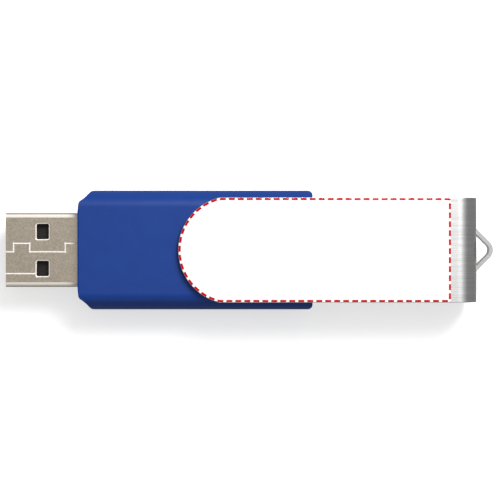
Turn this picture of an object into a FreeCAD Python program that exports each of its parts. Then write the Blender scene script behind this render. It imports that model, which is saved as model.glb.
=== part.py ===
"""A swivel USB flash drive, as an assembly of separate solids, one STEP file for each named piece.

The drive lies flat with its swivel cover turned right open. A moulded two-part housing holds a circuit board
whose plug comes out of the front. A U-shaped sheet cover straddles the housing and turns about two studs on
its inner faces, which run in blind bores in the housing. The cover's back has a key loop lanced out of it.

Frame, in millimetres: +Z is up, the pivot axis is the Z axis, and Z = 0 is the cover's underside, which the
drive rests on. The plug points along -X, and the cover's closed end is at +X.
"""

import FreeCAD, Part
import math
import os

V = FreeCAD.Vector
X_AXIS = V(1, 0, 0)
Y_AXIS = V(0, 1, 0)
Z_AXIS = V(0, 0, 1)

# Driving dimensions. The plug is the standard full-size one, and it sets the scale of the rest.
plug_width = 12.0
plug_height = 4.5
plug_length = 18.75
plug_shown = 11.8
plug_wall = 0.3
plug_corner = 0.65

housing_length = 38.0
housing_width = 19.4
housing_height = 8.5
housing_wall = 1.1
shoulder_reach = 2.7
crown_radius = 1.9
rear_to_pivot = 13.0

sheet = 0.8
cover_width = 16.9
cover_height = 10.4
cover_tip_radius = 8.7
cover_reach = 39.65
bend_radius = 3.3
loop_reach = 42.45

# Places that follow from the driving dimensions.
mid_z = cover_height / 2
rear_x = rear_to_pivot
front_x = rear_x - housing_length
tip_x = front_x - plug_shown
plug_rear_x = tip_x + plug_length
plug_top = mid_z + plug_height / 2
housing_top = mid_z + housing_height / 2
housing_bottom = mid_z - housing_height / 2
roof_z = housing_top - housing_wall
floor_z = housing_bottom + housing_wall

# How far a cutter runs past what it cuts.
over = 1.0

# The board lies with its top face against the contacts' tails.
tongue_thickness = 1.84
board_thickness = 1.0
board_top = plug_top - plug_wall - tongue_thickness
board_bottom = board_top - board_thickness


def box(x0, x1, y0, y1, z0, z1):
    """A block between two corners."""
    return Part.makeBox(x1 - x0, y1 - y0, z1 - z0, V(x0, y0, z0))


def slab(z0, z1):
    """All of the drive's room between two levels."""
    return box(tip_x - over, loop_reach + over, -housing_width, housing_width, z0, z1)


def post(x, y, z0, z1, radius):
    """A round post along Z."""
    return Part.makeCylinder(radius, z1 - z0, V(x, y, z0), Z_AXIS)


def plan_plane(z):
    """Drawing (u, v) on a level plane, as (X, Y)."""
    return lambda u, v: V(u, v, z)


def cross_plane(x):
    """Drawing (u, v) on a plane across the drive, as (Y, Z)."""
    return lambda u, v: V(x, u, v)


def side_plane(y):
    """Drawing (u, v) on a plane along the drive, as (X, Z)."""
    return lambda u, v: V(u, y, v)


def rounded_corner(before, corner, after):
    """Start, middle and end of the arc that rounds a corner (u, v, radius) between its two neighbours."""
    here = V(corner[0], corner[1], 0)
    back = V(before[0], before[1], 0) - here
    on = V(after[0], after[1], 0) - here
    half_turn = (math.pi - back.getAngle(on)) / 2
    back.normalize()
    on.normalize()
    step = corner[2] * math.tan(half_turn)
    depth = corner[2] / math.cos(half_turn) - corner[2]
    inward = (back + on).normalize() * depth
    return here + back * step, here + inward, here + on * step


def outline(corners, plane):
    """A closed face through corners (u, v, radius), each corner rounded to its radius, or sharp at 0."""
    count = len(corners)
    arcs = [rounded_corner(corners[i - 1], corners[i], corners[(i + 1) % count]) for i in range(count)]
    edges = []
    for i in range(count):
        start, middle, end = [plane(point.x, point.y) for point in arcs[i]]
        if corners[i][2]:
            edges.append(Part.Arc(start, middle, end).toShape())
        following = plane(arcs[(i + 1) % count][0].x, arcs[(i + 1) % count][0].y)
        edges.append(Part.LineSegment(end, following).toShape())
    return Part.Face(Part.Wire(edges))


def rectangle(u0, u1, v0, v1, radius, plane):
    """A rectangular face with all four corners rounded alike."""
    corners = [(u0, v0, radius), (u1, v0, radius), (u1, v1, radius), (u0, v1, radius)]
    return outline(corners, plane)


def is_upright(edge):
    """True for a straight edge that runs along Z."""
    ends = [vertex.Point for vertex in edge.Vertexes]
    return len(ends) == 2 and math.hypot(ends[0].x - ends[1].x, ends[0].y - ends[1].y) < 1e-6


def mirrored(shape):
    """The same shape on the other side of the drive's mid-plane in Y."""
    return shape.mirror(V(0, 0, 0), Y_AXIS)


def turned_over(shape):
    """The same shape turned half round about the drive's long centre line."""
    copy = shape.copy()
    copy.rotate(V(0, 0, mid_z), X_AXIS, 180)
    return copy


def plug_section(grow, radius, x0, x1):
    """The plug's rounded cross-section, grown all round, as a solid between two places along X."""
    half_width = plug_width / 2 + grow
    half_height = plug_height / 2 + grow
    face = rectangle(-half_width, half_width, mid_z - half_height, mid_z + half_height, radius,
                     cross_plane(x0))
    return face.extrude(X_AXIS * (x1 - x0))


# ---- Housing -------------------------------------------------------------------------------------------
# Two moulded halves that meet on a shut line at mid height. The front corners are scooped, and the front
# bows back a little on each side of the plug.

cove_length = 2.05
cove_width = 2.0
cove_radius = 4.9
cove_end_radius = 0.8
bow_start = 6.0
bow_drop = 0.4
bow_radius = 8.0
rear_corner_radius = 0.8
end_edge_radius = 0.25
shut_line_depth = 0.1
shut_line_width = 0.12
lip_inset = 0.6
lip_height = 0.7
lip_gap = 0.05
plug_gap = 0.04
plug_hole_depth = 3.0

stud_radius = 3.0
stud_length = 1.55
stud_chamfer = 0.3
bore_radius = stud_radius + 0.05
bore_depth = 1.5
boss_radius = 4.3
boss_floor = 0.7

clamp_start = front_x + 4.0
clamp_thickness = 1.0
clamp_half = 6.6

peg_radius = 0.7
peg_gap = 0.08
peg_top = board_top + 1.6
peg_post_radius = 1.15
board_pegs = [(9.6, 6.2), (9.6, -6.2)]
front_pegs = [(-20.9, 7.4), (-20.9, -7.4)]


def cove_cutter(side):
    """The round cutter that scoops one front corner of the plan shape."""
    end_a = V(front_x, side * (housing_width / 2 - cove_width), 0)
    end_b = V(front_x + cove_length, side * housing_width / 2, 0)
    chord = end_b - end_a
    outward = V(-chord.y, chord.x, 0).normalize() * side
    rise = math.sqrt(cove_radius ** 2 - (chord.Length / 2) ** 2)
    centre = (end_a + end_b) * 0.5 + outward * rise
    return post(centre.x, centre.y, 0, cover_height, cove_radius)


def is_at_cove(edge):
    """True for an upright edge at either end of a scooped corner."""
    at = edge.Vertexes[0].Point
    return is_upright(edge) and at.x < front_x + cove_length + 0.1 and abs(at.y) > bow_start + over


def housing_plan(inset, z0, z1):
    """The housing's plan shape, drawn in by an inset, as a solid between two levels."""
    half_width = housing_width / 2
    corners = [
        (front_x, bow_start, bow_radius),
        (front_x, -bow_start, bow_radius),
        (front_x + bow_drop, -half_width, 0),
        (rear_x, -half_width, rear_corner_radius),
        (rear_x, half_width, rear_corner_radius),
        (front_x + bow_drop, half_width, 0),
    ]
    block = outline(corners, plan_plane(z0)).extrude(Z_AXIS * (z1 - z0))
    block = block.cut(cove_cutter(1)).cut(cove_cutter(-1))
    block = block.makeFillet(cove_end_radius, [edge for edge in block.Edges if is_at_cove(edge)])
    base = [face for face in block.Faces if face.BoundBox.ZMax < z0 + 1e-4][0]
    return base.makeOffset2D(-inset).extrude(Z_AXIS * (z1 - z0)) if inset else block


def bullnose(inset):
    """The edges of one upper shoulder, drawn in by an inset, from the land at the shut line up to the flat top.

    Two arcs that meet at 45 degrees: a wide one up the side, and a tighter one over the crown.
    """
    slant = math.sqrt(0.5)
    side_radius = (shoulder_reach - crown_radius * slant) / (1 - slant)
    crown = V(front_x, housing_width / 2 - shoulder_reach, housing_top - crown_radius)
    side = crown - V(0, slant, slant) * (side_radius - crown_radius)

    def at(centre, radius, degrees):
        tilt = math.radians(degrees)
        return centre + V(0, math.sin(tilt), math.cos(tilt)) * (radius - inset)

    lower = Part.Arc(at(side, side_radius, 90), at(side, side_radius, 67.5), at(side, side_radius, 45))
    upper = Part.Arc(at(side, side_radius, 45), at(crown, crown_radius, 22.5), at(crown, crown_radius, 0))
    return [lower.toShape(), upper.toShape()]


def housing_section(inset):
    """The housing's cross-section, drawn in by an inset, with a bullnose at each corner, along its length."""
    right = Part.Wire(bullnose(inset))
    quarters = [right, turned_over(mirrored(right)), turned_over(right), mirrored(right)]
    low = [quarter.OrderedVertexes[0].Point for quarter in quarters]
    high = [quarter.OrderedVertexes[-1].Point for quarter in quarters]
    joins = [(low[0], low[1]), (high[1], high[2]), (low[2], low[3]), (high[3], high[0])]
    lines = [Part.LineSegment(a, b).toShape() for a, b in joins]
    edges = lines + [edge for quarter in quarters for edge in quarter.Edges]
    return Part.Face(Part.Wire(Part.__sortEdges__(edges))).extrude(X_AXIS * housing_length)


def housing_body():
    """The closed outer form: the plan shape, the rounded cross-section and the softened ends together."""
    side = rectangle(front_x, rear_x, housing_bottom, housing_top, end_edge_radius,
                     side_plane(-housing_width / 2))
    plan = housing_plan(0, housing_bottom, housing_top)
    return plan.common(housing_section(0)).common(side.extrude(Y_AXIS * housing_width))


def housing_cavity():
    """The hollow inside the housing, one wall in from the outer form."""
    plan = housing_plan(housing_wall, floor_z, roof_z)
    return plan.common(housing_section(housing_wall))


def shell_blank(z0, z1):
    """One half of the hollow housing, with its half of the shut line round the outside."""
    half_line = shut_line_width / 2
    line = housing_plan(-over, mid_z - half_line, mid_z + half_line)
    line = line.cut(housing_plan(shut_line_depth, mid_z - half_line, mid_z + half_line))
    return housing_body().cut(housing_cavity()).common(slab(z0, z1)).cut(line)


def rim_ring(outer_inset, inner_inset, height):
    """A ring that stands on the shut line inside the wall."""
    ring = housing_plan(outer_inset, mid_z, mid_z + height)
    return ring.cut(housing_plan(inner_inset, mid_z, mid_z + height))


def pivot_boss():
    """The thick round floor behind the upper bore."""
    return post(0, 0, housing_top - bore_depth - boss_floor, roof_z, boss_radius)


def plug_clamp():
    """A rib across the roof that holds the plug's shell down."""
    return box(clamp_start, clamp_start + clamp_thickness, -clamp_half, clamp_half, plug_top, roof_z)


def pivot_bore():
    """The upper blind bore, open at the housing's top face."""
    return post(0, 0, housing_top - bore_depth, housing_top + over, bore_radius)


def plug_hole():
    """The hole through the front wall that the plug comes out of."""
    return plug_section(plug_gap, plug_corner, front_x - over, front_x + plug_hole_depth)


def upper_shell():
    """The upper half: bore and boss, plug clamp, and posts whose sockets take the lower half's pegs."""
    shell = shell_blank(mid_z, housing_top)
    shell = shell.cut(rim_ring(lip_inset - lip_gap, housing_wall + lip_gap, lip_height + lip_gap))
    shell = shell.fuse(pivot_boss()).fuse(plug_clamp())
    for x, y in board_pegs + front_pegs:
        shell = shell.fuse(post(x, y, board_top, roof_z, peg_post_radius))
        shell = shell.cut(post(x, y, board_top, peg_top + peg_gap, peg_radius + peg_gap))
    return shell.cut(pivot_bore()).cut(plug_hole()).removeSplitter()


def lower_shell():
    """The lower half: bore and boss, plug clamp, a lip inside the rim, and pegs, two of them for the board."""
    shell = shell_blank(housing_bottom, mid_z).fuse(rim_ring(lip_inset, housing_wall, lip_height))
    shell = shell.fuse(turned_over(pivot_boss())).fuse(turned_over(plug_clamp()))
    for x, y in board_pegs:
        shell = shell.fuse(post(x, y, floor_z, board_bottom, peg_post_radius))
    for x, y in front_pegs:
        shell = shell.fuse(post(x, y, floor_z, board_top, peg_post_radius))
    for x, y in board_pegs + front_pegs:
        shell = shell.fuse(post(x, y, floor_z, peg_top, peg_radius))
    return shell.cut(turned_over(pivot_bore())).cut(plug_hole()).removeSplitter()


# ---- Swivel cover --------------------------------------------------------------------------------------
# One strip of sheet folded to a U, its free ends rounded about the pivot, with a stud inside each arm. The
# middle of its back is lanced free and pushed out to make the key loop.

edge_break = 0.08
loop_height = 3.0
loop_thickness = 0.62
loop_tip_radius = 1.8
loop_root_half = 3.5
loop_root_radius = 0.6
loop_tie = 0.9
slot_clearance = 0.05

film_thickness = 0.1
film_inset = 0.08
film_end = 35.18
film_corner = 0.45


def loop_strip():
    """The key loop: two legs that rise from the cover's back at 45 degrees to a rounded point."""
    slant = math.sqrt(2)
    point = loop_reach + loop_tip_radius * (slant - 1)
    inner_point = point - loop_thickness * slant
    back = cover_reach
    inner_back = back - loop_thickness
    root = point - back
    inner_root = inner_point - inner_back
    end = root + loop_tie
    corners = [
        (back, -end, 0),
        (back, -root, loop_root_radius),
        (point, 0, loop_tip_radius),
        (back, root, loop_root_radius),
        (back, end, 0),
        (inner_back, end, 0),
        (inner_back, inner_root, loop_root_radius + loop_thickness),
        (inner_point, 0, loop_tip_radius - loop_thickness),
        (inner_back, -inner_root, loop_root_radius + loop_thickness),
        (inner_back, -end, 0),
    ]
    strip = outline(corners, plan_plane(mid_z - loop_height / 2))
    return strip.extrude(Z_AXIS * loop_height)


def loop_slot():
    """The slot that the loop's strip leaves in the cover's back, a little taller than the strip."""
    half_height = loop_height / 2 + slot_clearance
    return box(cover_reach - sheet - over, cover_reach + over, -loop_root_half, loop_root_half,
               mid_z - half_height, mid_z + half_height)


def cover_plan(inset, z0, z1):
    """The cover's plan shape: a round tip about the pivot axis, and straight sides from there to the back."""
    half_width = cover_width / 2 - inset
    tip = post(0, 0, z0, z1, cover_tip_radius - inset)
    arms = box(0, cover_reach, -half_width, half_width, z0, z1)
    return tip.common(box(-cover_tip_radius, cover_tip_radius, -half_width, half_width, z0, z1)).fuse(arms)


def is_cover_rim(edge):
    """True for an edge along the cover's sides or round its free ends, where the sheet was trimmed."""
    at = edge.CenterOfMass
    on_side = abs(abs(at.y) - cover_width / 2) < 1e-4
    round_tip = at.x < 1 and edge.BoundBox.ZLength < 1e-4
    return (on_side or round_tip) and not is_upright(edge)


def fold_profile(inset, radius):
    """The cover's profile from the side, drawn in by an inset: a long U that is closed at +X."""
    far = cover_reach - inset
    low, high = inset, cover_height - inset
    start = -cover_tip_radius - over
    corners = [(start, low, 0), (far, low, radius), (far, high, radius), (start, high, 0)]
    return outline(corners, side_plane(-cover_width / 2))


def swivel_cover():
    """The folded sheet with softened rims, its slot and its key loop."""
    fold = fold_profile(0, bend_radius).cut(fold_profile(sheet, bend_radius - sheet))
    cover = fold.extrude(Y_AXIS * cover_width).common(cover_plan(0, 0, cover_height).removeSplitter())
    cover = cover.makeFillet(edge_break, [edge for edge in cover.Edges if is_cover_rim(edge)])
    return cover.cut(loop_slot()).fuse(loop_strip()).removeSplitter()


def pivot_stud():
    """The upper stud: a plain disc welded to the arm's inner face, with its free edge chamfered."""
    top = cover_height - sheet
    stud = post(0, 0, top - stud_length, top, stud_radius)
    rim = [edge for edge in stud.Edges if edge.BoundBox.ZMax < top - stud_length + 0.01]
    return stud.makeChamfer(stud_chamfer, rim)


def print_film():
    """The white print film on the cover's upper face, from the round tip to just before the bend."""
    low, high = cover_height, cover_height + film_thickness
    film = cover_plan(film_inset, low, high).removeSplitter()
    film = film.cut(box(film_end, loop_reach, -cover_width, cover_width, low, high))
    corners = [edge for edge in film.Edges if is_upright(edge) and edge.Vertexes[0].X > film_end - 0.1]
    return film.makeFillet(film_corner, corners)


# ---- Plug ----------------------------------------------------------------------------------------------
# A steel shell folded from sheet, whose edges meet in a stepped seam on the upper face. It has two windows
# above and two below. Inside, a black carrier holds four contacts under its tongue.

window_front = 5.0
window_length = 2.0
window_width = 2.5
window_offset = 3.0
window_corner = 0.25
window_flare = 0.2
window_flare_depth = 0.1
seam_low = -0.25
seam_high = 1.12
seam_steps = [1.3, 3.93, 9.7]
seam_half_width = 0.16
seam_depth = 0.07
score_y = -3.8
tab_length = 2.9
tab_low = mid_z - 1.2
tab_high = mid_z + 0.7

contact_half = 0.5
contact_thickness = 0.25
contact_slope = 0.35
contact_tail = 2.3
contact_places = {
    "power_contact": (-3.5, 1.3),
    "data_minus_contact": (-1.0, 2.2),
    "data_plus_contact": (1.0, 2.2),
    "ground_contact": (3.5, 1.3),
}
tongue_setback = 0.35
mouth_depth = 9.1
carrier_gap = 0.03
carrier_setback = 0.2
pocket_margin = 0.1
pocket_depth = 0.9


def window_face(y, grow, z):
    """One retention window's outline on a level plane, grown all round."""
    half = window_width / 2 + grow
    x0 = tip_x + window_front - grow
    return rectangle(x0, x0 + window_length + 2 * grow, y - half, y + half, window_corner + grow,
                     plan_plane(z))


def window_cutter(y):
    """One retention window through the plug's upper wall, with its outer edge flared."""
    narrow = window_face(y, 0, plug_top - window_flare_depth).OuterWire
    wide = window_face(y, window_flare, plug_top).OuterWire
    flare = Part.makeLoft([narrow, wide], True, True)
    return window_face(y, 0, plug_top - over).extrude(Z_AXIS * 2 * over).fuse(flare)


def groove(start, end):
    """A V groove in the plug's upper face between two points (x, y), running on past both by half its width."""
    a, b = V(start[0], start[1], plug_top), V(end[0], end[1], plug_top)
    along = (b - a).normalize() * seam_half_width
    across = along.cross(Z_AXIS)
    section = [a - along + across, a - along - across, a - along - Z_AXIS * seam_depth]
    return Part.Face(Part.makePolygon(section + section[:1])).extrude(b - a + along * 2)


def seam_path():
    """The stepped seam's corners, from in front of the plug to behind it."""
    path = [(tip_x - over, seam_low)]
    level, other = seam_low, seam_high
    for step in seam_steps:
        path.extend([(tip_x + step, level), (tip_x + step, other)])
        level, other = other, level
    return path + [(plug_rear_x + over, level)]


def plug_shell():
    """The folded shell, with its four windows, its seam, one score line, and two tabs that solder to the board."""
    shell = plug_section(0, plug_corner, tip_x, plug_rear_x)
    shell = shell.cut(plug_section(-plug_wall, plug_corner - plug_wall, tip_x - over, plug_rear_x + over))
    tab = box(plug_rear_x, plug_rear_x + tab_length, plug_width / 2 - plug_wall, plug_width / 2,
              tab_low, tab_high)
    shell = shell.fuse(tab).fuse(mirrored(tab))
    for y in (window_offset, -window_offset):
        shell = shell.cut(window_cutter(y)).cut(turned_over(window_cutter(y)))
    path = seam_path()
    for start, end in zip(path, path[1:]):
        shell = shell.cut(groove(start, end))
    score = groove((tip_x - over, score_y), (tip_x + window_front, score_y))
    return shell.cut(score).removeSplitter()


def contact(y, setback):
    """A flat contact strip in the tongue's lower face, with a sloping nose and a tail on the board."""
    nose = tip_x + tongue_setback + setback
    tail = plug_rear_x + contact_tail
    low, high = board_top, board_top + contact_thickness
    corners = [(nose, high, 0), (nose + contact_slope, low, 0), (tail, low, 0), (tail, high, 0)]
    return outline(corners, side_plane(y - contact_half)).extrude(Y_AXIS * 2 * contact_half)


def pocket(y):
    """The pocket in the carrier under one of the plug's upper windows."""
    x0 = tip_x + window_front - pocket_margin
    half = window_width / 2 + pocket_margin
    top = plug_top - plug_wall
    return box(x0, x0 + window_length + 2 * pocket_margin, y - half, y + half, top - pocket_depth, top)


def plug_insulator(contacts):
    """The black carrier: a block that closes the shell's rear and a tongue under its upper wall."""
    carrier = plug_section(-plug_wall - carrier_gap, plug_corner - plug_wall, tip_x + tongue_setback,
                           plug_rear_x - carrier_setback)
    carrier = carrier.cut(box(tip_x, tip_x + mouth_depth, -plug_width, plug_width, 0, board_top))
    for piece in [pocket(window_offset), pocket(-window_offset)] + contacts:
        carrier = carrier.cut(piece)
    return carrier.removeSplitter()


# ---- Circuit board -------------------------------------------------------------------------------------
# The board with the memory above, and the controller, clock crystal, regulator and small parts underneath.
# Each component is drawn over the origin, standing on Z = 0, and then put in its place on the board.

board_half = 7.2
board_rear = 10.9
board_corner = 0.6
neck_half = 5.3
neck_end = -15.0
neck_corner = 0.3

lead_width = 0.22
lead_thickness = 0.13
lead_pitch = 0.5
standoff = 0.08
package_draft = 0.12
package_corner = 0.1
dimple_radius = 0.35
dimple_inset = 1.0

memory_size = (18.4, 12.0, 1.0)
memory_place = (-1.6, 0)
memory_lead_count = 24
controller_size = (7.0, 7.0, 1.4)
controller_place = (-9.6, 0)
controller_lead_count = 12
regulator_size = (2.9, 1.3, 1.0)
regulator_place = (7.3, -2.6)
regulator_lead_spread = 0.95
crystal_size = (5.0, 3.2, 0.7)
crystal_lid_rise = 0.35
crystal_lid_inset = 0.25
crystal_place = (7.4, 2.6)

small_part_length = 1.6
small_part_width = 0.8
small_part_cap = 0.32
small_part_cap_rise = 0.02
capacitor_height = 0.8
resistor_height = 0.45
small_part_row_x = [-13.0, -10.6, -8.2, -5.8, 0.4, 3.0]
small_part_row_y = 5.8

blob_start = 0.7
blob_half = 0.8
blob_height = 0.42
blob_round = 0.3
bead_start = 0.4
bead_low = board_bottom + 0.1
bead_high = board_top + 0.2


def circuit_board():
    """The board: a neck between the plug's tabs, then the full width, with a hole for each of its pegs."""
    front = plug_rear_x - carrier_setback / 2
    corners = [
        (front, -neck_half, 0),
        (neck_end, -neck_half, neck_corner),
        (neck_end, -board_half, board_corner),
        (board_rear, -board_half, board_corner),
        (board_rear, board_half, board_corner),
        (neck_end, board_half, board_corner),
        (neck_end, neck_half, neck_corner),
        (front, neck_half, 0),
    ]
    board = outline(corners, plan_plane(board_bottom)).extrude(Z_AXIS * board_thickness)
    for x, y in board_pegs:
        board = board.cut(post(x, y, board_bottom, board_top, peg_radius + peg_gap))
    return board


def gull_lead(height, reach, foot):
    """One bent lead: level out of the package at a height, sloping down, and level again on its foot."""
    t = lead_thickness
    knee = reach - foot
    slope = 0.17
    corners = [
        (0, height, 0),
        (knee - slope, height, 0),
        (knee, t, 0),
        (reach, t, 0),
        (reach, 0, 0),
        (knee - t / 2, 0, 0),
        (knee - slope - t / 2, height - t, 0),
        (0, height - t, 0),
    ]
    return outline(corners, side_plane(-lead_width / 2)).extrude(Y_AXIS * lead_width)


def lead_row(lead, half, count, angle):
    """A row of leads along one side of a package, with the side turned about Z."""
    row = []
    for i in range(count):
        one = lead.copy()
        one.translate(V(half, (i - (count - 1) / 2) * lead_pitch, 0))
        one.rotate(V(0, 0, 0), Z_AXIS, angle)
        row.append(one)
    return row


def package(length, width, thickness):
    """A moulded chip package, drafted both ways from mid height, with a dimple by its first lead."""
    half_x, half_y = length / 2, width / 2
    low, high = standoff, standoff + thickness

    def ring(inset, z):
        return rectangle(-half_x + inset, half_x - inset, -half_y + inset, half_y - inset,
                         package_corner, plan_plane(z)).OuterWire

    lower = Part.makeLoft([ring(package_draft, low), ring(0, (low + high) / 2)], True, True)
    upper = Part.makeLoft([ring(0, (low + high) / 2), ring(package_draft, high)], True, True)
    dimple = post(dimple_inset - half_x, dimple_inset - half_y, high - standoff, high, dimple_radius)
    return lower.fuse(upper).removeSplitter().cut(dimple)


def on_top(shapes, place):
    """Puts shapes drawn over the origin on the board's upper face."""
    moved = [shape.copy() for shape in shapes]
    for shape in moved:
        shape.translate(V(*place, board_top))
    return moved


def underneath(shapes, place):
    """Hangs shapes drawn over the origin under the board's lower face."""
    moved = [shape.copy() for shape in shapes]
    for shape in moved:
        shape.rotate(V(0, 0, 0), X_AXIS, 180)
        shape.translate(V(*place, board_bottom))
    return moved


def memory_leads():
    """The memory chip's leads, a row along each end."""
    lead = gull_lead(0.62, 0.8, 0.45)
    rows = [lead_row(lead, memory_size[0] / 2, memory_lead_count, angle) for angle in (0, 180)]
    return on_top(sum(rows, []), memory_place)


def controller_leads():
    """The controller chip's leads, a row along each of its four sides."""
    lead = gull_lead(0.85, 1.0, 0.5)
    rows = [lead_row(lead, controller_size[0] / 2, controller_lead_count, angle)
            for angle in (0, 90, 180, 270)]
    return underneath(sum(rows, []), controller_place)


def regulator_leads():
    """The regulator's three leads: two on one side and one on the other."""
    lead = gull_lead(0.6, 0.55, 0.25)
    leads = []
    for x, angle in ((-regulator_lead_spread, 90), (regulator_lead_spread, 90), (0, 270)):
        one = lead.copy()
        one.translate(V(regulator_size[1] / 2, 0, 0))
        one.rotate(V(0, 0, 0), Z_AXIS, angle)
        one.translate(V(x, 0, 0))
        leads.append(one)
    return underneath(leads, regulator_place)


def crystal_base():
    """The clock crystal's ceramic base."""
    half_x, half_y = crystal_size[0] / 2, crystal_size[1] / 2
    face = rectangle(-half_x, half_x, -half_y, half_y, crystal_lid_inset, plan_plane(0))
    return underneath([face.extrude(Z_AXIS * crystal_size[2])], crystal_place)


def crystal_lid():
    """The crystal's metal lid, seam-welded on the base, with a rounded rim."""
    half_x = crystal_size[0] / 2 - crystal_lid_inset
    half_y = crystal_size[1] / 2 - crystal_lid_inset
    face = rectangle(-half_x, half_x, -half_y, half_y, crystal_lid_inset, plan_plane(crystal_size[2]))
    lid = face.extrude(Z_AXIS * crystal_lid_rise)
    top = crystal_size[2] + crystal_lid_rise
    rim = [edge for edge in lid.Edges if edge.BoundBox.ZMin > top - 0.01]
    return underneath([lid.makeFillet(crystal_lid_rise / 3, rim)], crystal_place)


def small_part_bodies(height, row_y):
    """The ceramic middles of a row of like chip components."""
    half = small_part_length / 2 - small_part_cap
    middle = box(-half, half, -small_part_width / 2, small_part_width / 2,
                 small_part_cap_rise, height - small_part_cap_rise)
    return [underneath([middle], (x, row_y))[0] for x in small_part_row_x]


def small_part_ends(height, row_y):
    """The metal ends of a row of like chip components."""
    half_length, half_width = small_part_length / 2, small_part_width / 2
    inner = half_length - small_part_cap
    pair = [box(-half_length, -inner, -half_width, half_width, 0, height),
            box(inner, half_length, -half_width, half_width, 0, height)]
    return [end for x in small_part_row_x for end in underneath(pair, (x, row_y))]


def solder_joints(contacts):
    """Solder over the four contact tails, and along the plug's two tabs beside the board's neck."""
    joints = []
    for strip in contacts:
        y = strip.BoundBox.Center.y
        blob = box(plug_rear_x + blob_start, plug_rear_x + contact_tail + 0.2, y - blob_half, y + blob_half,
                   board_top, board_top + blob_height)
        crown = [edge for edge in blob.Edges if edge.BoundBox.ZMin > board_top + 0.01]
        joints.append(blob.makeFillet(blob_round, crown).cut(strip))
    bead = box(plug_rear_x + bead_start, plug_rear_x + tab_length - 0.2, neck_half,
               plug_width / 2 - plug_wall, bead_low, bead_high)
    return joints + [bead, mirrored(bead)]


# ---- Assembly ------------------------------------------------------------------------------------------

def all_nodes():
    """Every named piece of the drive, in place, as lists of solids by name."""
    contacts = {name: contact(*place) for name, place in contact_places.items()}
    strips = list(contacts.values())
    nodes = {
        "upper_shell": [upper_shell()],
        "lower_shell": [lower_shell()],
        "swivel_cover": [swivel_cover()],
        "upper_pivot_stud": [pivot_stud()],
        "lower_pivot_stud": [turned_over(pivot_stud())],
        "print_film": [print_film()],
        "plug_shell": [plug_shell()],
        "plug_insulator": [plug_insulator(strips)],
        "circuit_board": [circuit_board()],
        "memory_chip": on_top([package(*memory_size)], memory_place),
        "memory_chip_leads": memory_leads(),
        "controller_chip": underneath([package(*controller_size)], controller_place),
        "controller_chip_leads": controller_leads(),
        "crystal_base": crystal_base(),
        "crystal_lid": crystal_lid(),
        "voltage_regulator": underneath([package(*regulator_size)], regulator_place),
        "voltage_regulator_leads": regulator_leads(),
        "capacitors": small_part_bodies(capacitor_height, small_part_row_y),
        "capacitor_ends": small_part_ends(capacitor_height, small_part_row_y),
        "resistors": small_part_bodies(resistor_height, -small_part_row_y),
        "resistor_ends": small_part_ends(resistor_height, -small_part_row_y),
        "solder_joints": solder_joints(strips),
    }
    nodes.update({name: [strip] for name, strip in contacts.items()})
    return nodes


os.makedirs("parts", exist_ok=True)
for name, solids in all_nodes().items():
    shape = solids[0] if len(solids) == 1 else Part.makeCompound(solids)
    shape.exportStep(f"parts/{name}.step")
    print(name, len(shape.Solids), "solids", round(shape.Volume, 3), "mm3, valid:", shape.isValid())
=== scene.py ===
"""A swivel USB flash drive, lying flat with its folded cover turned right open.

Lengths are metres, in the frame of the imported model: the pivot axis is the Z axis, the plug points along -X
and the cover's closed end is at +X. mm turns millimetres into metres.
"""

import math

import bpy
import mathutils
import numpy as np
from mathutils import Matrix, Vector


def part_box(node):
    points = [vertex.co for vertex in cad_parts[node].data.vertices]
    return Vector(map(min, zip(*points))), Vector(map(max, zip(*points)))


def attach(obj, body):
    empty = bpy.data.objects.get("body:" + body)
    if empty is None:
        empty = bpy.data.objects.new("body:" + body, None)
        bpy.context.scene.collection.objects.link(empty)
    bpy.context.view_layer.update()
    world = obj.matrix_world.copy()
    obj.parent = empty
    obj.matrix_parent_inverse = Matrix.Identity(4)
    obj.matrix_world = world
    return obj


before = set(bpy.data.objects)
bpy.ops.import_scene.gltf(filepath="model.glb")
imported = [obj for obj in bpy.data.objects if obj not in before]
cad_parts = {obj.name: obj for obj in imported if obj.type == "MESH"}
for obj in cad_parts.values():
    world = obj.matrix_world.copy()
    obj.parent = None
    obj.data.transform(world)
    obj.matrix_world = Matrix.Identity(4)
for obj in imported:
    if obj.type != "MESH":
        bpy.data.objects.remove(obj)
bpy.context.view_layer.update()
mm = 0.001


# ---- Circuit board ---------------------------------------------------------------------------------------
# A glass-fibre laminate, 1 mm thick, etched with copper tracks on both faces and coated with green solder
# mask. Routed to its outline, so its edges show the bare yellowish laminate.

def linear(hex_colour):
    """An sRGB colour such as "2C4994" as linear red, green, blue and alpha."""
    srgb = np.array([int(hex_colour[i:i + 2], 16) for i in (0, 2, 4)]) / 255
    return (*np.where(srgb <= 0.04045, srgb / 12.92, ((srgb + 0.055) / 1.055) ** 2.4).tolist(), 1)


def add(material, kind, inputs=(), **settings):
    """Adds a node with its settings to a material. Each input, by name or number, is linked or set."""
    tree = material.node_tree
    node = tree.nodes.new("ShaderNode" + kind)
    for name, value in settings.items():
        setattr(node, name, value)
    for socket, value in dict(inputs).items():
        if isinstance(value, bpy.types.NodeSocket):
            tree.links.new(value, node.inputs[socket])
        else:
            node.inputs[socket].default_value = value
    return node


def new_material(name):
    """An empty material, and its output node."""
    material = bpy.data.materials.new(name)
    material.use_nodes = True
    material.node_tree.nodes.clear()
    return material, add(material, "OutputMaterial")


def finish_surface(material, output, height, depth, inputs):
    """Closes a material: a bump of a real depth from a height pattern, under a Principled shader."""
    bump = add(material, "Bump", {"Height": height, "Distance": depth, "Strength": 1.0})
    shader = add(material, "BsdfPrincipled", {**inputs, "Normal": bump.outputs[0]})
    material.node_tree.links.new(shader.outputs[0], output.inputs["Surface"])


def clothe(material, *nodes):
    """Gives CAD nodes a material."""
    for name in nodes:
        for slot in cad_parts[name].material_slots:
            slot.material = material


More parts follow.
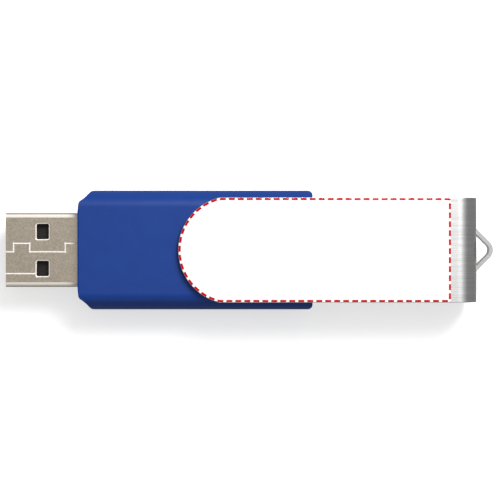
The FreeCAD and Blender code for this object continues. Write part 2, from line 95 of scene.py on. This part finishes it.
def solder_masked_laminate():
    """FR-4 laminate under green solder mask: a glossy green skin over raised tracks, and bare buff edges.

    The mask covers the faces that point up or down, and the routed edges are left bare.
    """
    track_pitch = 0.5 * mm
    vertical_enough = 0.5
    material, output = new_material("solder_masked_laminate")
    place = add(material, "TexCoord").outputs["Object"]
    laid = add(material, "Mapping", {"Vector": place, "Scale": [1 / track_pitch] * 3}).outputs[0]
    tracks = add(material, "TexBrick", {"Vector": laid, "Scale": 1.0, "Mortar Size": 0.12,
                                        "Brick Width": 7.0, "Row Height": 1.0}, offset=0.35).outputs[1]
    weave = add(material, "TexNoise", {"Vector": place, "Scale": 1 / (0.4 * mm)}).outputs[0]
    mask = add(material, "Mix", {0: tracks, 6: linear("0E5A2A"), 7: linear("1F7A3C")},
               data_type="RGBA").outputs[2]
    normal = add(material, "NewGeometry").outputs["Normal"]
    upright = add(material, "SeparateXYZ", {0: normal}).outputs[2]
    either_way = add(material, "Math", {0: upright}, operation="ABSOLUTE").outputs[0]
    flat = add(material, "Math", {0: either_way, 1: vertical_enough}, operation="GREATER_THAN").outputs[0]
    colour = add(material, "Mix", {0: flat, 6: linear("B9A66B"), 7: mask}, data_type="RGBA").outputs[2]
    swell = add(material, "Math", {0: weave, 1: 0.15}, operation="MULTIPLY").outputs[0]
    height = add(material, "Math", {0: tracks, 1: swell}, operation="ADD").outputs[0]
    dull = add(material, "MapRange", {"Value": weave, "To Min": 0.25, "To Max": 0.4}).outputs[0]
    finish_surface(material, output, height, 0.02 * mm, {"Base Color": colour, "Roughness": dull})
    return material


clothe(solder_masked_laminate(), "circuit_board")


# ---- Memory, controller and regulator --------------------------------------------------------------------
# Chips in black moulded epoxy packages. Their sides are drafted so they leave the mould, and a dimple marks
# the first lead.

def moulded_epoxy():
    """Silica-filled epoxy, transfer moulded in a spark-eroded tool: charcoal, dull and finely pitted."""
    material, output = new_material("moulded_epoxy")
    place = add(material, "TexCoord").outputs["Object"]
    pits = add(material, "TexNoise", {"Vector": place, "Scale": 1 / (0.08 * mm), "Detail": 4.0}).outputs[0]
    cloud = add(material, "TexNoise", {"Vector": place, "Scale": 1 / (1.5 * mm)}).outputs[0]
    colour = add(material, "Mix", {0: cloud, 6: linear("1B1B1D"), 7: linear("2A2A2C")},
                 data_type="RGBA").outputs[2]
    dull = add(material, "MapRange", {"Value": pits, "To Min": 0.5, "To Max": 0.75}).outputs[0]
    finish_surface(material, output, pits, 0.012 * mm, {"Base Color": colour, "Roughness": dull})
    return material


clothe(moulded_epoxy(), "memory_chip", "controller_chip", "voltage_regulator")


# ---- Leads, component ends and solder --------------------------------------------------------------------
# Copper-alloy leads and the fired silver ends of the small parts, all plated with tin, and the solder that
# holds the plug's contacts and tabs.

def matt_tin():
    """Matt tin plate and reflowed solder: pale silver, softly crystalline, with clouded roughness."""
    material, output = new_material("matt_tin")
    place = add(material, "TexCoord").outputs["Object"]
    crystals = add(material, "TexNoise", {"Vector": place, "Scale": 1 / (0.12 * mm),
                                          "Detail": 3.0}).outputs[0]
    cloud = add(material, "TexNoise", {"Vector": place, "Scale": 1 / (0.6 * mm)}).outputs[0]
    colour = add(material, "Mix", {0: cloud, 6: linear("B7B8B9"), 7: linear("DADADA")},
                 data_type="RGBA").outputs[2]
    dull = add(material, "MapRange", {"Value": crystals, "To Min": 0.28, "To Max": 0.5}).outputs[0]
    finish_surface(material, output, crystals, 0.006 * mm,
                   {"Base Color": colour, "Metallic": 1.0, "Roughness": dull})
    return material


clothe(matt_tin(), "memory_chip_leads", "controller_chip_leads", "voltage_regulator_leads",
       "capacitor_ends", "resistor_ends", "solder_joints")


# ---- Capacitors and crystal base -------------------------------------------------------------------------
# Fired ceramic bodies, sawn or pressed to shape: the capacitors' barium titanate and the crystal's alumina.

def fired_ceramic():
    """Fired titanate ceramic: warm buff brown, chalky, with a fine speckle from its grains."""
    material, output = new_material("fired_ceramic")
    place = add(material, "TexCoord").outputs["Object"]
    speckle = add(material, "TexNoise", {"Vector": place, "Scale": 1 / (0.05 * mm),
                                         "Detail": 3.0}).outputs[0]
    colour = add(material, "Mix", {0: speckle, 6: linear("8A6E52"), 7: linear("B59A78")},
                 data_type="RGBA").outputs[2]
    dull = add(material, "MapRange", {"Value": speckle, "To Min": 0.45, "To Max": 0.7}).outputs[0]
    finish_surface(material, output, speckle, 0.006 * mm, {"Base Color": colour, "Roughness": dull})
    return material


clothe(fired_ceramic(), "capacitors", "crystal_base")


# ---- Contacts --------------------------------------------------------------------------------------------
# Four strips of phosphor bronze, stamped from sheet and plated with gold over nickel, lying in the tongue.

def gold_plate():
    """Hard gold plate over rolled bronze: rich yellow with faint rolling lines along each strip."""
    line_length = 2.0 * mm
    line_width = 0.03 * mm
    material, output = new_material("gold_plate")
    place = add(material, "TexCoord").outputs["Object"]
    drawn = add(material, "Mapping", {"Vector": place,
                                      "Scale": (1 / line_length, 1 / line_width, 1 / line_width)}).outputs[0]
    lines = add(material, "TexNoise", {"Vector": drawn, "Scale": 1.0, "Detail": 3.0}).outputs[0]
    colour = add(material, "Mix", {0: lines, 6: linear("D9A544"), 7: linear("F1CB74")},
                 data_type="RGBA").outputs[2]
    dull = add(material, "MapRange", {"Value": lines, "To Min": 0.18, "To Max": 0.3}).outputs[0]
    finish_surface(material, output, lines, 0.003 * mm,
                   {"Base Color": colour, "Metallic": 1.0, "Roughness": dull})
    return material


clothe(gold_plate(), "power_contact", "data_minus_contact", "data_plus_contact", "ground_contact")


# ---- Plug insulator and resistors ------------------------------------------------------------------------
# The plug's carrier is moulded in one piece round its grooves. The resistors' cover glass is as black.

def glass_filled_polyester():
    """Glass-filled polyester, injection moulded: brownish black, half dull, with flow marks along X."""
    mark_length = 3.0 * mm
    mark_width = 0.4 * mm
    material, output = new_material("glass_filled_polyester")
    place = add(material, "TexCoord").outputs["Object"]
    swept = add(material, "Mapping", {"Vector": place,
                                      "Scale": (1 / mark_length, 1 / mark_width, 1 / mark_width)}).outputs[0]
    flow = add(material, "TexNoise", {"Vector": swept, "Scale": 1.0, "Detail": 3.0}).outputs[0]
    fibres = add(material, "TexNoise", {"Vector": swept, "Scale": 8.0}).outputs[0]
    colour = add(material, "Mix", {0: flow, 6: linear("15100D"), 7: linear("241C18")},
                 data_type="RGBA").outputs[2]
    dull = add(material, "MapRange", {"Value": flow, "To Min": 0.4, "To Max": 0.6}).outputs[0]
    finish_surface(material, output, fibres, 0.008 * mm,
                   {"Base Color": colour, "Roughness": dull, "Specular IOR Level": 0.35})
    return material


clothe(glass_filled_polyester(), "plug_insulator", "resistors")


# ---- Plug shell ------------------------------------------------------------------------------------------
# Steel strip, folded round a mandrel until its edges lock in a stepped seam on top, then barrel plated with
# nickel. The long folds and the pressed edges of the seam and the windows are burnished. There the colour is
# also lightened to near white and made less metallic, a painted highlight for the light they catch. The
# crystal's drawn lid is plated the same way.

plug_low, plug_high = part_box("plug_shell")
plug_crown = plug_high.z
fold_band = 0.73 * mm
# How strongly the painted highlight is laid on the folds, and how deep it reaches below the crown.
fold_highlight_level = 0.8
edge_begins = 0.01 * mm
edge_full = 0.025 * mm
highlight_depth = 0.2 * mm


def barrel_plated_nickel():
    """Nickel over rolled steel: warm grey satin, mottled by tumbling, with a painted highlight on pressed
    edges.

    The real mottle and rolling lines are a few hundredths of a millimetre, too fine to show, so they are
    drawn at 0.16 to 0.28 mm. A pressed edge is what lies below the upper face's crown, and a fold is the band
    along each side. Both are burnished, and both are also painted near white and less metallic as a highlight
    for the light they catch. On an edge this painted highlight starts at edge_begins, is full at edge_full
    and stops at highlight_depth.
    """
    line_length = 3.0 * mm
    line_width = 0.16 * mm
    material, output = new_material("barrel_plated_nickel")
    place = add(material, "TexCoord").outputs["Object"]
    mottle = add(material, "TexNoise", {"Vector": place, "Scale": 1 / (0.28 * mm), "Detail": 4.0,
                                        "Roughness": 0.7}).outputs[0]
    blotch = add(material, "TexNoise", {"Vector": place, "Scale": 1 / (2.5 * mm)}).outputs[0]
    grit = add(material, "TexNoise", {"Vector": place, "Scale": 1 / (0.2 * mm), "Detail": 3.0}).outputs[0]
    rolled = add(material, "Mapping", {"Vector": place,
                                       "Scale": (1 / line_length, 1 / line_width, 1 / line_width)}).outputs[0]
    lines = add(material, "TexNoise", {"Vector": rolled, "Scale": 1.0}).outputs[0]
    axes = add(material, "SeparateXYZ", {0: place})
    below = add(material, "MapRange", {"Value": axes.outputs[2], "From Min": plug_crown - edge_full,
                                       "From Max": plug_crown - edge_begins, "To Min": 1.0,
                                       "To Max": 0.0}).outputs[0]
    from_middle = add(material, "Math", {0: axes.outputs[1]}, operation="ABSOLUTE").outputs[0]
    on_face = add(material, "Math", {0: from_middle, 1: plug_high.y - fold_band},
                  operation="LESS_THAN").outputs[0]
    outside = add(material, "Math", {0: axes.outputs[2], 1: plug_crown - highlight_depth},
                  operation="GREATER_THAN").outputs[0]
    # Painted highlight: a mask over the pressed edges and the folds, where the colour is lightened to stand
    # in for caught light.
    rim_highlight = add(material, "Math", {0: below, 1: on_face}, operation="MULTIPLY").outputs[0]
    fold_highlight = add(material, "Math", {0: fold_highlight_level, 1: on_face}, operation="SUBTRACT",
                 use_clamp=True).outputs[0]
    either = add(material, "Math", {0: rim_highlight, 1: fold_highlight}, operation="ADD").outputs[0]
    painted_highlight = add(material, "Math", {0: either, 1: outside}, operation="MULTIPLY").outputs[0]
    patchy = add(material, "MapRange", {"Value": mottle, "From Min": 0.3, "From Max": 0.7}).outputs[0]
    satin = add(material, "Mix", {0: patchy, 6: linear("AFA592"), 7: linear("E4D8C6")},
                data_type="RGBA").outputs[2]
    paler = add(material, "Math", {0: blotch, 1: 0.3}, operation="MULTIPLY").outputs[0]
    satin = add(material, "Mix", {0: paler, 6: satin, 7: linear("E4D8C7")}, data_type="RGBA").outputs[2]
    darker = add(material, "Math", {0: lines, 1: 0.3}, operation="MULTIPLY").outputs[0]
    satin = add(material, "Mix", {0: darker, 6: satin, 7: linear("9A8D7A")}, data_type="RGBA").outputs[2]
    # The painted highlight: near white, less metallic and rougher colour over the satin wherever the mask
    # lies.
    colour = add(material, "Mix", {0: painted_highlight, 6: satin, 7: linear("F8F3EC")}, data_type="RGBA").outputs[2]
    metal = add(material, "MapRange", {"Value": painted_highlight, "To Min": 1.0, "To Max": 0.5}).outputs[0]
    tumbled = add(material, "MapRange", {"Value": mottle, "To Min": 0.25, "To Max": 0.38}).outputs[0]
    dull = add(material, "Mix", {0: painted_highlight, 2: tumbled, 3: 0.8}, data_type="FLOAT").outputs[0]
    finish_surface(material, output, grit, 0.003 * mm,
                   {"Base Color": colour, "Metallic": metal, "Roughness": dull})
    return material


clothe(barrel_plated_nickel(), "plug_shell", "crystal_lid")


# ---- Housing shells --------------------------------------------------------------------------------------
# Two halves injection moulded in self-coloured ABS from a spark-eroded tool, and snapped together on a shut
# line at mid height.

def spark_textured_abs():
    """Royal blue ABS from a spark-eroded tool: matte, evenly stippled, barely varied in tone.

    The tool's real stipple is about 0.03 mm, too fine to show, so it is drawn at 0.16 mm.
    """
    material, output = new_material("spark_textured_abs")
    place = add(material, "TexCoord").outputs["Object"]
    stipple = add(material, "TexNoise", {"Vector": place, "Scale": 1 / (0.16 * mm), "Detail": 3.0,
                                         "Roughness": 0.6}).outputs[0]
    cloud = add(material, "TexNoise", {"Vector": place, "Scale": 1 / (2.5 * mm), "Detail": 3.0}).outputs[0]
    speckle = add(material, "TexNoise", {"Vector": place, "Scale": 1 / (0.3 * mm)}).outputs[0]
    broad = add(material, "Math", {0: cloud, 1: 0.6}, operation="MULTIPLY").outputs[0]
    tone = add(material, "Math", {0: speckle, 1: 0.4, 2: broad}, operation="MULTIPLY_ADD").outputs[0]
    colour = add(material, "Mix", {0: tone, 6: linear("053280"), 7: linear("0A3E92")},
                 data_type="RGBA").outputs[2]
    dull = add(material, "MapRange", {"Value": stipple, "To Min": 0.46, "To Max": 0.58}).outputs[0]
    finish_surface(material, output, stipple, 0.012 * mm,
                   {"Base Color": colour, "Roughness": dull, "IOR": 1.53, "Specular IOR Level": 0.3})
    return material


clothe(spark_textured_abs(), "upper_shell", "lower_shell")


# ---- Pivot studs -----------------------------------------------------------------------------------------
# Short aluminium discs turned on a lathe and spot welded inside the cover's arms.

def turned_aluminium():
    """Lathe-turned aluminium: fine concentric rings about the pivot, bright and slightly uneven.

    A real tool leaves rings about 0.08 mm apart, too fine to show, so they are drawn 0.5 mm apart. At a scale
    of 1, the wave texture's own rings are a twentieth of a full turn apart, which is unscaled_pitch.
    """
    ring_pitch = 0.5 * mm
    unscaled_pitch = 2 * math.pi / 20
    material, output = new_material("turned_aluminium")
    place = add(material, "TexCoord").outputs["Object"]
    rings = add(material, "TexWave", {"Vector": place, "Scale": unscaled_pitch / ring_pitch,
                                      "Distortion": 0.3}, wave_type="RINGS",
                rings_direction="Z").outputs[1]
    cloud = add(material, "TexNoise", {"Vector": place, "Scale": 1 / (0.8 * mm)}).outputs[0]
    colour = add(material, "Mix", {0: cloud, 6: linear("C9CACC"), 7: linear("E2E3E4")},
                 data_type="RGBA").outputs[2]
    dull = add(material, "MapRange", {"Value": cloud, "To Min": 0.2, "To Max": 0.32}).outputs[0]
    finish_surface(material, output, rings, 0.002 * mm,
                   {"Base Color": colour, "Metallic": 1.0, "Roughness": dull})
    return material


clothe(turned_aluminium(), "upper_pivot_stud", "lower_pivot_stud")


# ---- Swivel cover ----------------------------------------------------------------------------------------
# One strip of aluminium sheet, belt brushed along its length, blanked, lanced for the key loop and folded
# to a U over a round tool. Its rims are tumbled smooth.

cover_back = 39.65 * mm
loop_begins = cover_back + 0.1 * mm


def brushed_aluminium():
    """Belt-brushed aluminium: long fine scratches along the strip, which smear reflections across it.

    The real scratches are about 0.03 mm wide, too fine to show, so they are drawn 0.16 mm wide. The lanced
    loop, which stands out past the cover's back, is a shade greyer.
    """
    scratch_length = 11.0 * mm
    scratch_width = 0.16 * mm
    material, output = new_material("brushed_aluminium")
    place = add(material, "TexCoord").outputs["Object"]
    drawn = add(material, "Mapping", {"Vector": place,
                                      "Scale": (1 / scratch_length, 1 / scratch_width,
                                                1 / scratch_length)}).outputs[0]
    scratches = add(material, "TexNoise", {"Vector": drawn, "Scale": 1.0, "Detail": 4.0,
                                           "Roughness": 0.7}).outputs[0]
    bands = add(material, "TexNoise", {"Vector": drawn, "Scale": 0.4, "Detail": 3.0}).outputs[0]
    nicks = add(material, "TexNoise", {"Vector": drawn, "Scale": 4.0}).outputs[0]
    shallow = add(material, "Math", {0: bands, 1: 0.3}, operation="MULTIPLY").outputs[0]
    streaks = add(material, "Math", {0: scratches, 1: 0.7, 2: shallow},
                  operation="MULTIPLY_ADD").outputs[0]
    deep = add(material, "MapRange", {"Value": streaks, "From Min": 0.3, "From Max": 0.7}).outputs[0]
    colour = add(material, "Mix", {0: deep, 6: linear("D4D4D4"), 7: linear("F0F0EF")},
                 data_type="RGBA").outputs[2]
    along_strip = add(material, "SeparateXYZ", {0: place}).outputs[0]
    lanced = add(material, "Math", {0: along_strip, 1: loop_begins},
                 operation="GREATER_THAN").outputs[0]
    colour = add(material, "Mix", {0: lanced, 6: colour, 7: linear("BDBDBD")}, data_type="RGBA").outputs[2]
    brushed = add(material, "MapRange", {"Value": streaks, "To Min": 0.18, "To Max": 0.3}).outputs[0]
    dull = add(material, "Math", {0: nicks, 1: 0.06, 2: brushed}, operation="MULTIPLY_ADD").outputs[0]
    along = add(material, "Tangent", direction_type="RADIAL", axis="Y").outputs[0]
    finish_surface(material, output, scratches, 0.0014 * mm,
                   {"Base Color": colour, "Metallic": 1.0, "Roughness": dull, "Anisotropic": 0.5,
                    "Anisotropic Rotation": 0.25, "Tangent": along})
    return material


clothe(brushed_aluminium(), "swivel_cover")


# ---- Print film ------------------------------------------------------------------------------------------
# A white vinyl film, 0.1 mm thick, kiss cut to the cover's outline and pressed on its upper face.

def white_vinyl():
    """Calendered white vinyl: clean, semi-matt, with a faint orange peel from the rollers."""
    material, output = new_material("white_vinyl")
    place = add(material, "TexCoord").outputs["Object"]
    peel = add(material, "TexNoise", {"Vector": place, "Scale": 1 / (0.7 * mm)}).outputs[0]
    fine = add(material, "TexNoise", {"Vector": place, "Scale": 1 / (0.08 * mm)}).outputs[0]
    colour = add(material, "Mix", {0: peel, 6: linear("FAFAFA"), 7: linear("FFFFFF")},
                 data_type="RGBA").outputs[2]
    dull = add(material, "MapRange", {"Value": fine, "To Min": 0.38, "To Max": 0.5}).outputs[0]
    finish_surface(material, output, peel, 0.002 * mm, {"Base Color": colour, "Roughness": dull})
    return material


clothe(white_vinyl(), "print_film")


# ---- Printed border --------------------------------------------------------------------------------------
# A dashed red line, screen printed on the film just inside its edge, to show how far a print may reach. The
# first dash starts dash_start of a pitch away from the middle of the far end.

film_low, film_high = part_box("print_film")
border_width = 0.35 * mm
border_inset = 0.175 * mm
dash_length = 0.97 * mm
dash_gap = 0.48 * mm
dash_start = 0.53
ink_rise = 0.006 * mm
ink_sink = 0.004 * mm
film_corner = 0.45 * mm
line_step = 0.02 * mm
dash_stations = 9


def border_line(step):
    """The film's outline, drawn in by the border's inset, as points a small step apart.

    It runs from the middle of the far end round a corner, down one side, round the pivot in an arc, and
    back along the other side.
    """
    half = film_high.y - border_inset
    far = film_high.x - border_inset
    tip_radius = -film_low.x - border_inset
    bend = film_corner - border_inset
    join = -math.sqrt(tip_radius ** 2 - half ** 2)
    turn = math.atan2(half, join)

    def straight(a, b):
        """Points shared out evenly from a to b, without b."""
        t = np.linspace(0, 1, max(int(math.dist(a, b) / step), 2), endpoint=False)[:, None]
        return np.array(a) * (1 - t) + np.array(b) * t

    def arc(centre, radius, start, end):
        """Points at equal angles about a centre from start to end, without end."""
        t = np.linspace(start, end, max(int(abs(end - start) * radius / step), 2), endpoint=False)
        return np.array(centre) + radius * np.stack([np.cos(t), np.sin(t)], axis=1)

    quarter = math.pi / 2
    return np.concatenate([
        straight((far, 0), (far, half - bend)),
        arc((far - bend, half - bend), bend, 0, quarter),
        straight((far - bend, half), (join, half)),
        arc((0, 0), tip_radius, turn, 2 * math.pi - turn),
        straight((join, -half), (far - bend, -half)),
        arc((far - bend, bend - half), bend, -quarter, 0),
        straight((far, bend - half), (far, 0)),
        [(far, 0)],
    ])


def new_piece(name, points, faces, material):
    """A mesh object at the origin from arrays of points and faces."""
    mesh = bpy.data.meshes.new(name)
    mesh.from_pydata(points.reshape(-1, 3).tolist(), [], faces.tolist())
    mesh.validate()
    mesh.materials.append(material)
    piece = bpy.data.objects.new(name, mesh)
    bpy.context.scene.collection.objects.link(piece)
    return piece


def dashed_border():
    """Every dash as a closed bar: four corners carried along the line, and a cap at each end.

    A point at length s along the line is found by interpolation, and the bar's sides stand off it by half
    the border's width along the line's normal.
    """
    line = border_line(line_step)
    steps = np.linalg.norm(np.diff(line, axis=0), axis=1)
    travelled = np.concatenate([[0], np.cumsum(steps)])
    count = round(travelled[-1] / (dash_length + dash_gap))
    pitch = travelled[-1] / count
    share = dash_length / (dash_length + dash_gap)
    s = pitch * (dash_start + np.arange(count)[:, None] + share * np.linspace(0, 1, dash_stations)[None, :])
    s %= travelled[-1]
    tangent = np.gradient(line, travelled, axis=0)
    at = np.stack([np.interp(s, travelled, line[:, i]) for i in (0, 1)], axis=-1)
    along = np.stack([np.interp(s, travelled, tangent[:, i]) for i in (0, 1)], axis=-1)
    along /= np.linalg.norm(along, axis=-1, keepdims=True)
    normal = np.stack([along[..., 1], -along[..., 0]], axis=-1)
    sides = np.array([1, 1, -1, -1]) * border_width / 2
    levels = film_high.z + np.array([-ink_sink, ink_rise, ink_rise, -ink_sink])
    points = np.empty((count, dash_stations, 4, 3))
    points[..., :2] = at[:, :, None, :] + normal[:, :, None, :] * sides[None, None, :, None]
    points[..., 2] = levels
    ring = np.arange(4)
    first = np.arange(dash_stations - 1)[:, None] * 4
    turned = (ring + 1) % 4
    wall = np.stack([first + ring, first + turned, first + 4 + turned, first + 4 + ring], axis=-1)
    caps = np.array([ring[::-1], ring + 4 * (dash_stations - 1)])
    bar = np.concatenate([wall.reshape(-1, 4), caps])
    faces = (bar[None] + np.arange(count)[:, None, None] * dash_stations * 4).reshape(-1, 4)
    return new_piece("print_border", points, faces, red_ink())


def red_ink():
    """Screen-printed red ink: a thin opaque layer, satin, with a slightly mottled density."""
    material, output = new_material("red_ink")
    place = add(material, "TexCoord").outputs["Object"]
    mottle = add(material, "TexNoise", {"Vector": place, "Scale": 1 / (0.15 * mm),
                                        "Detail": 3.0}).outputs[0]
    colour = add(material, "Mix", {0: mottle, 6: linear("B80008"), 7: linear("CE0212")},
                 data_type="RGBA").outputs[2]
    dull = add(material, "MapRange", {"Value": mottle, "To Min": 0.5, "To Max": 0.65}).outputs[0]
    finish_surface(material, output, mottle, 0.001 * mm,
                   {"Base Color": colour, "Roughness": dull, "Specular IOR Level": 0.1})
    return material


border = dashed_border()
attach(border, "cover")


# ---- Floor, lights and camera ----------------------------------------------------------------------------
# A plain pale glowing sheet under the drive, one softbox high up as the key, one narrow strip low in front,
# pale walls all round, and a camera straight above. The sheet is kept out of reflections and bounced light,
# so the drive's sides and edges are lit by the walls.

def opal_acrylic():
    """Opal acrylic lit from below: near white with a faint tooth. Its own glow keeps shadows on it pale."""
    material, output = new_material("opal_acrylic")
    place = add(material, "TexCoord").outputs["Object"]
    tooth = add(material, "TexNoise", {"Vector": place, "Scale": 1 / (1.0 * mm)}).outputs[0]
    colour = add(material, "Mix", {0: tooth, 6: linear("E6E6E6"), 7: linear("EAEAEA")},
                 data_type="RGBA").outputs[2]
    finish_surface(material, output, tooth, 0.002 * mm,
                   {"Base Color": colour, "Roughness": 0.9, "Specular IOR Level": 0.1,
                    "Emission Color": linear("FFFFFF"), "Emission Strength": 0.55})
    return material


def floor_sheet(half_side):
    """One flat square at the drive's resting level."""
    corners = np.array([(-1, -1, 0), (1, -1, 0), (1, 1, 0), (-1, 1, 0)]) * half_side
    return new_piece("floor", corners, np.array([[0, 1, 2, 3]]), opal_acrylic())


floor_half_side = 3.0
floor = floor_sheet(floor_half_side)
floor.visible_glossy = False
floor.visible_diffuse = False


def softbox(name, towards, distance, width, height, radiance):
    """A soft rectangular light that faces the drive, at a distance from it in the direction of a vector."""
    light = bpy.data.lights.new(name, "AREA")
    light.shape = "RECTANGLE"
    light.size, light.size_y = width, height
    light.energy = radiance * math.pi * width * height
    lamp = bpy.data.objects.new(name, light)
    away = mathutils.Vector(towards).normalized()
    lamp.location = away * distance
    lamp.rotation_mode = "QUATERNION"
    lamp.rotation_quaternion = (-away).to_track_quat("-Z", "Y")
    bpy.context.scene.collection.objects.link(lamp)


softbox("key", towards=(0.44, 0.74, 1), distance=0.35, width=0.17, height=0.17, radiance=12.7)
softbox("low_strip", towards=(-0.2, -2.0, 1), distance=0.35, width=0.05, height=0.10, radiance=4.5)


def studio_walls():
    """Walls that light the drive and show in its metal: a pale side, a dark side, and a glow overhead.

    The level of a direction is the walls' level, blended to the ceiling's as it rises, plus a glow that
    goes with a power of the direction's cosine to the key's side.
    """
    dark_side = (0.77, -0.64, 0)
    key_side = (0.23, 0.32, 0.92)
    pale_wall = 0.48
    dark_wall = 0.29
    ceiling = 0.2
    glow_strength = 1.12
    glow_power = 6.0
    world = bpy.data.worlds.new("studio_walls")
    world.use_nodes = True
    world.node_tree.nodes.clear()
    output = add(world, "OutputWorld")
    facing = add(world, "TexCoord").outputs["Generated"]
    towards_dark = add(world, "VectorMath", {0: facing, 1: dark_side},
                       operation="DOT_PRODUCT").outputs["Value"]
    walls = add(world, "MapRange", {"Value": towards_dark, "From Min": -0.1, "From Max": 0.7,
                                    "To Min": pale_wall, "To Max": dark_wall},
                interpolation_type="SMOOTHSTEP").outputs[0]
    height = add(world, "SeparateXYZ", {0: facing}).outputs[2]
    raised = add(world, "MapRange", {"Value": height, "From Min": 0.15, "From Max": 0.6},
                 interpolation_type="SMOOTHSTEP").outputs[0]
    upward = add(world, "Mix", {0: raised, 2: walls, 3: ceiling}, data_type="FLOAT").outputs[0]
    towards_key = add(world, "VectorMath", {0: facing, 1: key_side},
                      operation="DOT_PRODUCT").outputs["Value"]
    in_front = add(world, "Math", {0: towards_key, 1: 0.0}, operation="MAXIMUM").outputs[0]
    glow = add(world, "Math", {0: in_front, 1: glow_power}, operation="POWER").outputs[0]
    level = add(world, "Math", {0: glow, 1: glow_strength, 2: upward}, operation="MULTIPLY_ADD").outputs[0]
    light = add(world, "Background", {"Strength": level})
    world.node_tree.links.new(light.outputs[0], output.inputs["Surface"])
    return world


bpy.context.scene.world = studio_walls()
bpy.context.scene.view_settings.view_transform = "Standard"

view_middle = 2.87 * mm
camera_distance = 300 * mm
camera_data = bpy.data.cameras.new("camera")
camera_data.sensor_width = 36
camera_data.lens = 132
camera = bpy.data.objects.new("camera", camera_data)
mid_height = (plug_low.z + plug_high.z) / 2
camera.location = (view_middle, 0, mid_height + camera_distance)
bpy.context.scene.collection.objects.link(camera)
bpy.context.scene.camera = camera
